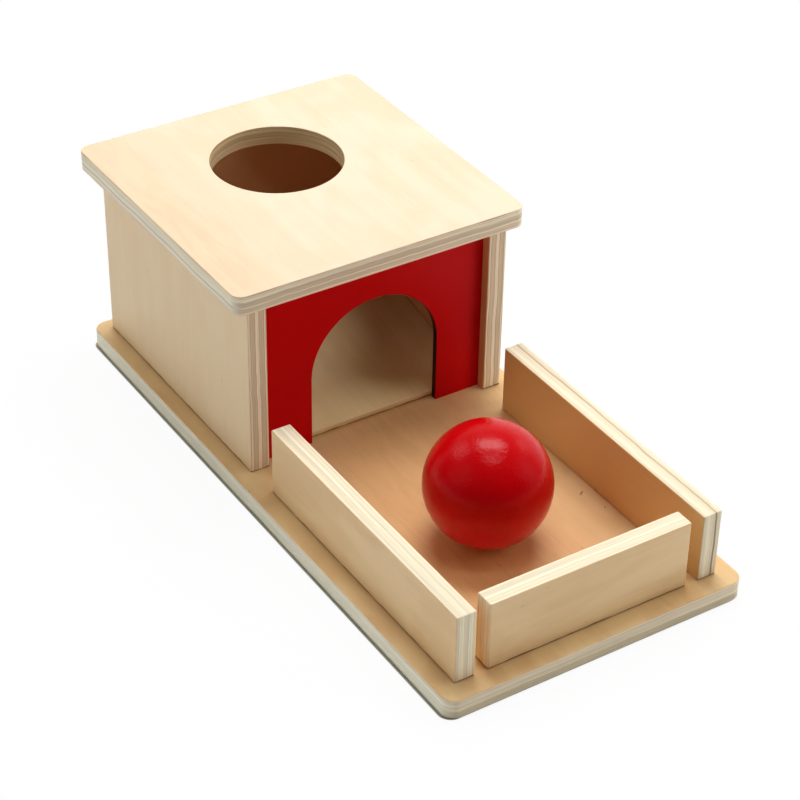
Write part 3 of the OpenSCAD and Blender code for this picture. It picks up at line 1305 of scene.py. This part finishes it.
@dataclass(frozen=True)
class Studio:
    """The white table and backdrop, the soft lamps and the camera of the picture.

    The ball's highlights in the picture give the directions of the first four lamps. sky is the
    light from all round. dark_side, mirrored_ceiling and mirrored_floor are how bright gloss sees
    the room behind the camera, the room overhead and the table. floor_white is the table's share of
    plain white near the toy, and shadow_reach the distances between which that share rises to 1.
    contact is the width of the dark line beside the base, and contact_fade that of its soft side.
    lens and sensor are millimetres, and clip the nearest and farthest distance that is drawn.
    """

    camera_at: tuple[float, float, float] = (-0.43657, -0.67819, 0.60251)
    azimuth: float = math.radians(-32.9427)
    elevation: float = math.radians(35.331)
    roll: float = math.radians(1.048)
    lens: float = 104.49
    sensor: float = 36.0
    clip: tuple[float, float] = (0.01, 50.0)
    subject: tuple[float, float, float] = (0.0, 0.0, 0.05)
    sky: float = 0.03
    mirrored_ceiling: float = 0.12
    dark_side: float = 0.03
    floor_white: float = 0.94
    shadow_reach: tuple[float, float] = (0.16, 0.42)
    mirrored_floor: float = 0.15
    contact: float = 1.2 * MM
    contact_fade: float = 0.35 * MM
    table_half: float = 6.0
    lamps: tuple[Lamp, ...] = (
        Lamp("back_softbox", (0.219, 0.183, 0.959), 1.17, (0.75, 0.3), 7.7),
        Lamp("overhead_strip", (-0.028, -0.236, 0.971), 1.25, (0.6, 0.14), 1.5),
        Lamp("left_back_fill", (-0.381, 0.577, 0.722), 1.3, (0.5, 0.5), 1.8),
        Lamp("right_glint", (0.845, 0.023, 0.533), 1.3, (0.35, 0.25), 0.5),
        Lamp("far_back_fill", (0.32, 0.45, 0.83), 1.2, (0.8, 0.4), 4.9, mirrored=False),
        Lamp("low_back_fill", (0.25, 0.8, 0.55), 1.3, (0.9, 0.5), 1.2, mirrored=False),
        Lamp("right_front_fill", (0.75, -0.45, 0.5), 1.3, (0.9, 0.7), 4.4, mirrored=False),
        Lamp("low_right_fill", (0.75, -0.6, 0.2), 1.3, (1.0, 0.4), 2.7, mirrored=False),
        Lamp("left_fill", (-0.86, 0.1, 0.5), 1.3, (1.0, 0.8), 3.5, mirrored=False),
    )

    def build(self) -> None:
        """Makes the camera, the floor, the lamps and the world."""
        self.camera()
        self.floor()
        self.world()
        for lamp in self.lamps:
            self.hang(lamp)

    def camera(self) -> None:
        """Places the camera.

        Its back axis is (sin a cos e, -cos a cos e, sin e) for azimuth a and elevation e; the right
        and up axes are level and upright, then both turn by the roll.
        """
        a, e, r = self.azimuth, self.elevation, self.roll
        back = np.array([math.sin(a) * math.cos(e), -math.cos(a) * math.cos(e), math.sin(e)])
        right = np.array([math.cos(a), math.sin(a), 0.0])
        up = np.cross(back, right)
        matrix = np.eye(4)
        matrix[:3, 0] = math.cos(r) * right + math.sin(r) * up
        matrix[:3, 1] = -math.sin(r) * right + math.cos(r) * up
        matrix[:3, 2] = back
        matrix[:3, 3] = self.camera_at
        data = bpy.data.cameras.new("camera")
        data.lens, data.sensor_width = self.lens, self.sensor
        data.clip_start, data.clip_end = self.clip
        camera = bpy.data.objects.new("camera", data)
        camera.matrix_world = Matrix(matrix.tolist())
        bpy.context.scene.collection.objects.link(camera)
        bpy.context.scene.camera = camera

    def whiteness(self, tree: Tree) -> Socket:
        """Gives the floor's share of plain white.

        The camera sees some of the toy's shadow near it and plain white further out. Mirrored rays
        see a dimmer white, and light itself sees none, so that the paper throws back what it gets.

        Args:
            tree: the floor's nodes.

        Returns:
            The share.
        """
        path = add(tree, "LightPath").node.outputs
        far = add(tree, "VectorMath", add(tree, "TexCoord", output="Object"), operation="LENGTH")
        seen = add(tree, "MapRange", far, *self.shadow_reach, self.floor_white, 1.0,
                   interpolation_type="SMOOTHSTEP")
        mirrored = add(tree, "Math", path["Is Glossy Ray"], path["Is Transmission Ray"],
                       operation="MAXIMUM")
        dimmed = add(tree, "Math", mirrored, self.mirrored_floor, operation="MULTIPLY")
        return add(tree, "Math", path["Is Camera Ray"], seen, dimmed, operation="MULTIPLY_ADD")

    def contact_shadow(self, tree: Tree) -> Socket:
        """Gives 1 on the thin dark line beside the base and 0 elsewhere.

        The light comes mostly from the right, so the line is the base's outline moved to the left:
        length(max(|p - centre| - half sides, 0)) below the corner's radius.

        Args:
            tree: the floor's nodes.

        Returns:
            The shadow's share.
        """
        low, high = extent("base_board")
        radius = Base.corner_r
        centre = (low + high) / 2 - np.array([self.contact, 0, 0])
        half = (high - low) / 2 - radius
        where = add(tree, "TexCoord", output="Object")
        apart = add(tree, "VectorMath", where, centre.tolist(), operation="SUBTRACT")
        away = add(tree, "VectorMath", apart, operation="ABSOLUTE")
        # A whole metre is taken off in Z, so that only the distances in X and Y count.
        past = add(tree, "VectorMath", away, (half[0], half[1], 1.0), operation="SUBTRACT")
        out = add(tree, "VectorMath", past, (0.0, 0.0, 0.0), operation="MAXIMUM")
        far = add(tree, "VectorMath", out, operation="LENGTH")
        line = add(tree, "MapRange", far, radius, radius - self.contact_fade)
        # Seen from below the paper shows no trace of it.
        under = add(tree, "NewGeometry", output="Backfacing")
        above = add(tree, "Math", 1.0, under, operation="SUBTRACT")
        return add(tree, "Math", line, above, operation="MULTIPLY")

    def floor(self) -> None:
        """Makes the white table top: matt white that keeps a soft trace of the object's shadow."""
        half = self.table_half
        mesh = bpy.data.meshes.new("table_top")
        mesh.from_pydata([(-half, -half, 0), (half, -half, 0), (half, half, 0), (-half, half, 0)], [],
                         [(0, 1, 2, 3)])
        # A hair below the base, so that the two surfaces don't share a plane.
        mesh.transform(Matrix.Translation((0, 0, -0.05 * MM)))
        floor = bpy.data.objects.new("table_top", mesh)
        bpy.context.scene.collection.objects.link(floor)
        material = bpy.data.materials.new("white_paper_sweep")
        material.use_nodes = True
        tree = material.node_tree
        tree.nodes.clear()
        shadow = self.contact_shadow(tree)
        paper = add(tree, "Mix", shadow, "#F4F4F4", "#B8B5A2", data_type="RGBA")
        matt = add(tree, "BsdfDiffuse", Color=paper)
        white = add(tree, "Emission", Color="#FFFFFF", Strength=1.0)
        lit = add(tree, "Math", 1.0, shadow, operation="SUBTRACT")
        share = add(tree, "Math", self.whiteness(tree), lit, operation="MULTIPLY")
        add(tree, "OutputMaterial", Surface=add(tree, "MixShader", share, matt, white))
        mesh.materials.append(material)

    def world(self) -> None:
        """Adds a little light from all round, and what the camera and the gloss see of the room."""
        world = bpy.data.worlds.new("studio")
        world.use_nodes = True
        bpy.context.scene.world = world
        tree = world.node_tree
        tree.nodes.clear()
        path = add(tree, "LightPath").node.outputs
        where = add(tree, "TexCoord", output="Generated")
        height = add(tree, "SeparateXYZ", where, output="Z")
        # The directions between about 20 and 50 degrees above level lead over from walls to ceiling.
        overhead = add(tree, "MapRange", height, 0.35, 0.75, interpolation_type="SMOOTHSTEP")
        level = add(tree, "Mix", overhead, self.sky, 0.0, data_type="FLOAT")
        # What gloss mirrors: the white backdrop behind the toy, and a dark room on the camera's side.
        towards = (math.sin(self.azimuth), -math.cos(self.azimuth), 0.0)
        facing = add(tree, "VectorMath", where, towards, operation="DOT_PRODUCT")
        backdrop = add(tree, "MapRange", facing, -0.25, -0.7, self.dark_side, 1.0,
                       interpolation_type="SMOOTHSTEP")
        mirrored = add(tree, "Mix", overhead, backdrop, self.mirrored_ceiling, data_type="FLOAT")
        gloss = add(tree, "Math", path["Is Glossy Ray"], path["Is Transmission Ray"], operation="MAXIMUM")
        other = add(tree, "Mix", gloss, level, mirrored, data_type="FLOAT")
        strength = add(tree, "Mix", path["Is Camera Ray"], other, 1.0, data_type="FLOAT")
        shine = add(tree, "Background", Color="#FFFFFF", Strength=strength)
        add(tree, "OutputWorld", Surface=shine)

    def hang(self, lamp: Lamp) -> None:
        """Hangs one soft box over the subject, its long side level across the camera's view.

        Args:
            lamp: the soft box.
        """
        data = bpy.data.lights.new(lamp.name, "AREA")
        data.shape, data.energy = "RECTANGLE", lamp.power
        data.size, data.size_y = lamp.size
        out = np.array(lamp.direction) / np.linalg.norm(lamp.direction)
        side = np.array([math.cos(self.azimuth), math.sin(self.azimuth), 0.0])
        side -= out * float(side @ out)
        side /= np.linalg.norm(side)
        matrix = np.eye(4)
        matrix[:3, 0], matrix[:3, 1], matrix[:3, 2] = side, np.cross(out, side), out
        matrix[:3, 3] = np.array(self.subject) + out * lamp.distance
        box = bpy.data.objects.new(lamp.name, data)
        box.matrix_world = Matrix(matrix.tolist())
        box.visible_glossy = lamp.mirrored
        bpy.context.scene.collection.objects.link(box)


# The whole toy


def alternating(long: str, cut: str, glue: str, arris: str) -> tuple[Stops, Stops]:
    """Gives the edges of a board of five plies whose grain runs by turns along and across.

    Args:
        long: sRGB colour of a ply whose grain runs with the edge.
        cut: sRGB colour of a ply that is cut across.
        glue: sRGB colour of the glue lines.
        arris: sRGB colour of both arrises.

    Returns:
        The colours through an edge along the face grain, and through one across it.
    """
    side = ply_stack((long, cut, long, cut, long), glue, (arris, arris))
    return side, ply_stack((cut, long, cut, long, cut), glue, (arris, arris))


def plywoods(foot: float) -> Plywoods:
    """Makes the toy's plywoods.

    Args:
        foot: height of the base's top, where the boards on it show a glue line and painted crease shade.

    Returns:
        The finishes.
    """
    cream = "#F4DEBC"
    # The inner colours of the rails and the walls are painted shade: darker and redder where less light
    # reaches.
    rail_faces, rail_inner_shade = ("#F4D4A1", "#EAC48F"), "#E0B474"
    lid_lines = (0.13, 0.33, 0.57, 0.67, 0.86)
    # Painted shade: the lid's front edge has a dark top arris, and the base's edges a dark grey lower
    # arris, for eased edges turned away from the light.
    lid_side = ply_stack(("#FFF2D6", "#F6ECD0", "#FFF6DE", "#E2D6BC", "#FFF6DE", "#F6EAD0"), "#E6D4B4",
                         ("#DDBE96", "#E6D0AC"), lid_lines)
    lid_front = ply_stack(("#FFF0D0", "#FFF6DA", "#DECDB0", "#FFF4DA", "#EADABC", "#FFF0D6"), "#E0CCA8",
                          ("#C8A87C", "#F2D8B8"), lid_lines)
    # Painted light: the plies of the base's side edges are nearly white, for the light that the white table
    # throws on them.
    base_side = ply_stack(("#F4F0D8", "#FFFCE6", "#FCF6DE", "#FFFCE6", "#FCEED2"), "#F2E8D0",
                          ("#B8B296", "#F6DCB8"))
    base_front = ply_stack(("#E6D8B8", "#DCCCAC", "#F0E0C0", "#EEDEC2", "#F0E0C2"), "#DCCAA8",
                           ("#C8BC9C", "#F6DCB8"))
    dark_lines = (0.12, 0.24, 0.36, 0.61, 0.85)
    dark_side = ply_stack(("#FFF4D6", "#F6E8C8", "#D0B898", "#F6E8C8", "#FFF4D6", "#F2E4C6"), "#F0DCBA",
                          (cream, cream), dark_lines)
    dark_end = ply_stack(("#FFF4D6", "#F6E8C8", "#A08C76", "#F2E4C6", "#FFF4D6", "#F2E4C6"), "#EAD6B4",
                         (cream, cream), dark_lines)
    thin = ply_stack(("#F6DEAE", "#ECD29E", "#F6DEAE"), "#E6C894", ("#F2D6A6", "#F2D6A6"), (0.33, 0.67))
    return Plywoods(
        lid=BirchPlywood("varnished_birch_lid", "#F0DDC0", "#ECD3B1", lid_side, lid_front,
                         heart_and_shade=("#ECD0AC", -70 * MM, 20 * MM, 0.0)).build(),
        walls=BirchPlywood("varnished_birch_walls", "#F0D6AB", "#EBCC9F",
                           *alternating("#FFEED2", "#E0CCAA", "#C4A984", "#DDBE96"),
                           inner="#D6A475", foot=foot, figure=0.5).build(),
        base=BirchPlywood("varnished_birch_base", "#EECC95", "#DDB17A", base_side, base_front,
                          # The base's darker band is partly wood and partly painted shade of the tray's
                          # floor between the rails.
                          heart_and_shade=("#E5B37A", 0.0, 40 * MM, -140 * MM),
                          flecks=((47.8 * MM, -71.8 * MM, 3.2 * MM),
                                  (50.6 * MM, -84.6 * MM, 1.6 * MM))).build(),
        rails=BirchPlywood("varnished_birch_rails", *rail_faces,
                           *alternating("#FFF4D6", "#F6E8C8", "#EAD6B4", cream),
                           inner=rail_inner_shade, foot=foot).build(),
        dark_core=BirchPlywood("varnished_birch_dark_ply", *rail_faces, dark_side, dark_end,
                               inner=rail_inner_shade, foot=foot).build(),
        ramp=BirchPlywood("thin_birch_ramp", "#FFE4AA", "#F4D698", thin, thin, foot=foot,
                          # The ramp's darker stretch from 22 to 70 mm back is painted shade, behind the
                          # light that comes in through the door.
                          painted_shade=("#CCC0B8", 22 * MM, 70 * MM)).build(),
    )


def main() -> None:
    """Builds the studio, the finishes and the toy's sub-assemblies in order."""
    logging.basicConfig(level=logging.INFO, format="%(name)s: %(message)s")
    bpy.context.scene.view_settings.view_transform = "Standard"
    Studio().build()

    woods = plywoods(float(extent("left_wall")[0][2]))
    panel_red = RedLacquer("sprayed_red_lacquer", "#CC040B", "#C4030A", 0.42, (12.0, 0.6, 0.6), 0.03,
                           cut="#2E1008", specular=0.06).build()
    ball_red = RedLacquer("dipped_red_lacquer", "#CA020A", "#C20209", 0.2, (1.1, 1.1, 1.1), 0.32,
                          specular=0.18).build()
    pine = SolidWood("planed_pine", "#E3C798", "#C79D66", Axis.X, 2.2).build()
    beech = SolidWood("turned_beech", "#D9B689", "#BD9161", Axis.Z, 1.2).build()
    steel = ZincPlatedSteel("bright_zinc", "#C9CCCE", "#A9ADB0").build()

    fixings = Fixings()
    Base(fixings).build(woods.base, steel)
    House(fixings).build(woods, panel_red, beech)
    Ramp().build(woods.ramp, pine)
    Tray(fixings).build(woods.rails, woods.dark_core)
    Ball().build(ball_red)

    bpy.context.view_layer.update()


if __name__ == "__main__":
    main()
